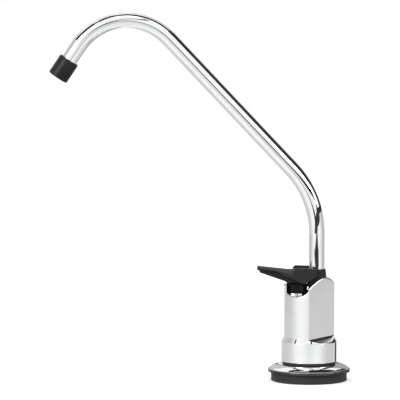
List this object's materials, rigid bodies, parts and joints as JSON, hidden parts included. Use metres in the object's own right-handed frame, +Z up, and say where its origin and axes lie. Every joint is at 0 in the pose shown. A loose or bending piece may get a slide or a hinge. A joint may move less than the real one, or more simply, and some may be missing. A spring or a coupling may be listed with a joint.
{
  "type": "glass filler faucet",
  "caption": "Deck-mounted glass filler faucet with a long bent chrome spout, a black press lever and a round base on a rubber washer.",
  "frame": {"origin": "body axis at the underside of the base washer, where the faucet stands on the counter", "axes": "+Z up, the spout and the lever point to -X, Y is across the faucet"},
  "size_m": [0.1786, 0.0492, 0.2186],
  "materials": {
    "chrome": "polished chrome plate",
    "black_plastic": "satin black moulding",
    "black_rubber": "moulded black rubber",
    "brass": "turned",
    "steel": "plain stainless",
    "white_plastic": "moulded"
  },
  "bodies": {
    "faucet_body": {"base_washer": "black_rubber", "base_flange": "chrome", "body_gasket": "black_rubber", "body": "chrome", "bonnet": "black_plastic", "bonnet_o_ring": "black_rubber", "stem_o_ring": "black_rubber", "spout_collar": "black_plastic"},
    "stem": {"valve_stem": "steel", "lever_pin": "steel", "seat_holder": "white_plastic", "seat_washer": "black_rubber", "seat_screw": "steel", "spring_washer": "steel", "stem_spring": "steel"},
    "lever": {"lever": "black_plastic"},
    "spout": {"spout_tube": "chrome", "spout_ferrule": "brass", "spout_o_ring_upper": "black_rubber", "spout_o_ring_lower": "black_rubber", "outlet_tip": "black_plastic"}
  },
  "joints": [
    {"name": "stem_lift", "type": "slide", "parent": "faucet_body", "child": "stem", "axis": [0, 0, 1], "range_m": [0, 0.00125], "deforming": ["stem_spring"]},
    {"name": "lever_press", "type": "hinge", "parent": "stem", "child": "lever", "pos_m": [-0.0074, 0, 0.0623], "axis": [0, -1, 0], "range_deg": [0, 12], "stiffness_Nm_per_rad": 0.0284, "springref_deg": -10.31},
    {"name": "spout_swivel", "type": "hinge", "parent": "faucet_body", "child": "spout", "pos_m": [0.0045, 0, 0.0561], "axis": [0, 0, 1], "continuous": true}
  ],
  "couplings": [
    {"joint": "stem_lift", "follows": "lever_press", "m_per_rad": 0.00596}
  ]
}
